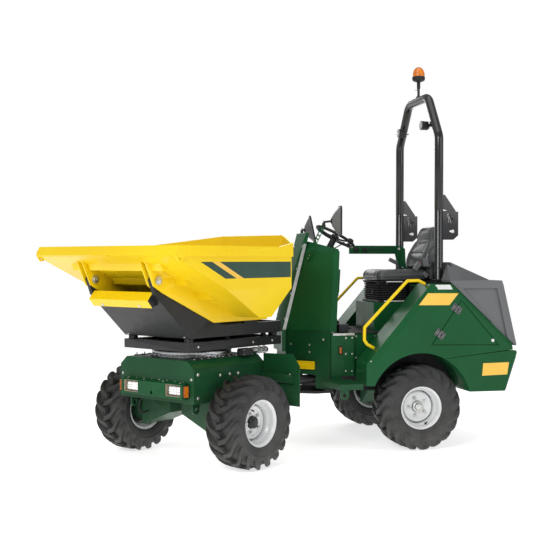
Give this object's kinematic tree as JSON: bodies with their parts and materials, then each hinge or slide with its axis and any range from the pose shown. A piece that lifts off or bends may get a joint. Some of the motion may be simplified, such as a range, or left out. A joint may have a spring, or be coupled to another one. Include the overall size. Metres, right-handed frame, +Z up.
{
  "type": "articulated site dumper",
  "caption": "Articulated site dumper with a swivelling forward-tipping skip, open driver's seat, fold-down roll bar and a rear hood over the battery.",
  "frame": {"origin": "centre of the bounding box at ground level", "axes": "+X forward along the rear half, +Y to its left, +Z up; the front half is parked turned 36.5 degrees towards +Y"},
  "size_m": [3.6972, 2.3944, 3.092],
  "materials": {
    "paint_green": "gloss",
    "paint_green_dark": "gloss",
    "paint_yellow": "gloss",
    "paint_black": "satin",
    "rim_grey": "satin",
    "tyre": "matt",
    "black_plastic": "matt",
    "hood_plastic": "matt",
    "decal_tan": "satin",
    "mirror_glass": "polished",
    "lamp_red": "gloss",
    "floor_mat": "matt",
    "seat_vinyl": "satin",
    "steel": "brushed",
    "lamp_lens": "gloss",
    "lamp_clear": "gloss",
    "rubber": "matt"
  },
  "bodies": {
    "rear": {"rear_chassis": "paint_black", "rear_wheel_carriers": "paint_green_dark", "side_body_left": "paint_green", "side_body_right": "paint_green", "wheel_arch_liners": "black_plastic", "rear_bumper": "paint_green", "platform": "paint_green", "console_base": "paint_green_dark", "console": "paint_green", "console_front_cover": "paint_green", "steering_column": "black_plastic", "mirrors": "black_plastic", "hand_rails": "paint_yellow", "steps": "paint_green_dark", "seat_base": "paint_green", "seat_suspension": "rubber", "seat_cushion": "seat_vinyl", "seat_backrest": "seat_vinyl", "guard_bar": "paint_green", "rops_lower": "paint_black", "battery_block": "black_plastic", "marker_lamps": "lamp_lens", "pedals": "black_plastic", "articulation_lock": "paint_yellow"},
    "front": {"front_chassis": "paint_green_dark", "light_bar": "paint_green", "front_lamps": "lamp_clear", "mudguards": "paint_green_dark", "front_wheel_carriers": "paint_green_dark", "slew_ring": "steel", "slew_drive": "black_plastic"},
    "turntable": {"turntable_frame": "paint_black", "skip_cradle": "paint_black", "guard_plate": "paint_yellow"},
    "skip": {"skip": "paint_yellow"},
    "tip_barrel": {"tip_cylinder_barrel": "paint_black"},
    "tip_rod": {"tip_cylinder_rod": "steel"},
    "steer_barrel": {"steering_cylinder_barrel": "paint_black"},
    "steer_rod": {"steering_cylinder_rod": "steel"},
    "wheel_front_left": {"tyre_front_left": "tyre", "rim_front_left": "rim_grey"},
    "wheel_front_right": {"tyre_front_right": "tyre", "rim_front_right": "rim_grey"},
    "wheel_rear_left": {"tyre_rear_left": "tyre", "rim_rear_left": "rim_grey"},
    "wheel_rear_right": {"tyre_rear_right": "tyre", "rim_rear_right": "rim_grey"},
    "roll_bar": {"rops_upper": "paint_black", "rops_lamps": "black_plastic"},
    "hood": {"hood": "hood_plastic"},
    "charge_door": {"charge_door": "paint_green"},
    "console_hatch": {"console_hatch": "paint_green"},
    "steering_wheel": {"steering_wheel": "black_plastic"}
  },
  "joints": [
    {"name": "articulation", "type": "hinge", "parent": "rear", "child": "front", "pos_m": [-0.02065, -0.44525, 0.445], "axis": [0, 0, 1], "range_deg": [-74.5, 1.5]},
    {"name": "skip_swivel", "type": "hinge", "parent": "front", "child": "turntable", "pos_m": [0.72292, 0.10496, 0.765], "axis": [0, 0, 1], "range_deg": [-90, 90]},
    {"name": "skip_tip", "type": "hinge", "parent": "turntable", "child": "skip", "pos_m": [1.26552, 0.50647, 1.334], "axis": [-0.5948, 0.8039, 0], "range_deg": [0, 70]},
    {"name": "tip_barrel_hinge", "type": "hinge", "parent": "turntable", "child": "tip_barrel", "pos_m": [0.98417, 0.29828, 0.975], "axis": [-0.5948, 0.8039, 0], "range_deg": [-0.5, 73.03]},
    {"name": "tip_rod_slide", "type": "slide", "parent": "tip_barrel", "child": "tip_rod", "axis": [-0.8024, -0.5938, 0.0599], "range_m": [-0.002, 0.57547]},
    {"name": "steer_barrel_hinge", "type": "hinge", "parent": "rear", "child": "steer_barrel", "pos_m": [-0.35065, -0.24525, 0.528], "axis": [0, 0, 1], "range_deg": [-35.84, 1.21]},
    {"name": "steer_rod_slide", "type": "slide", "parent": "steer_barrel", "child": "steer_rod", "axis": [0.9557, 0.2942, 0], "range_m": [-0.00709, 0.25483]},
    {"name": "wheel_front_left_spin", "type": "hinge", "parent": "front", "child": "wheel_front_left", "pos_m": [0.38994, 0.58942, 0.33], "axis": [-0.5948, 0.8039, 0], "continuous": true},
    {"name": "wheel_front_right_spin", "type": "hinge", "parent": "front", "child": "wheel_front_right", "pos_m": [1.08886, -0.35511, 0.33], "axis": [-0.5948, 0.8039, 0], "continuous": true},
    {"name": "wheel_rear_left_spin", "type": "hinge", "parent": "rear", "child": "wheel_rear_left", "pos_m": [-1.03715, 0.14225, 0.33], "axis": [0, 1, 0], "continuous": true},
    {"name": "wheel_rear_right_spin", "type": "hinge", "parent": "rear", "child": "wheel_rear_right", "pos_m": [-1.03715, -1.03275, 0.33], "axis": [0, 1, 0], "continuous": true},
    {"name": "roll_bar_fold", "type": "hinge", "parent": "rear", "child": "roll_bar", "pos_m": [-1.39565, -0.44525, 1.8], "axis": [0, -1, 0], "range_deg": [0, 95]},
    {"name": "hood_hinge", "type": "hinge", "parent": "rear", "child": "hood", "pos_m": [-1.82865, -0.44525, 0.8], "axis": [0, -1, 0], "range_deg": [0, 55]},
    {"name": "charge_door_hinge", "type": "hinge", "parent": "rear", "child": "charge_door", "pos_m": [-1.16901, 0.30375, 0.90168], "axis": [0.5842, 0, -0.8116], "range_deg": [0, 95]},
    {"name": "console_hatch_hinge", "type": "hinge", "parent": "rear", "child": "console_hatch", "pos_m": [-0.47516, -0.44525, 1.193], "axis": [0, -1, 0], "range_deg": [0, 80]},
    {"name": "steering_wheel_spin", "type": "hinge", "parent": "rear", "child": "steering_wheel", "pos_m": [-0.55465, -0.44525, 1.664], "axis": [-0.4894, 0, 0.8721], "continuous": true}
  ],
  "couplings": [
    {"joint": "tip_barrel_hinge", "follows": "skip_tip", "ratio": 1.0362},
    {"joint": "tip_rod_slide", "follows": "skip_tip", "m_per_rad": 0.46939},
    {"joint": "steer_barrel_hinge", "follows": "articulation", "ratio": 0.47438},
    {"joint": "steer_rod_slide", "follows": "articulation", "m_per_rad": -0.19445}
  ]
}
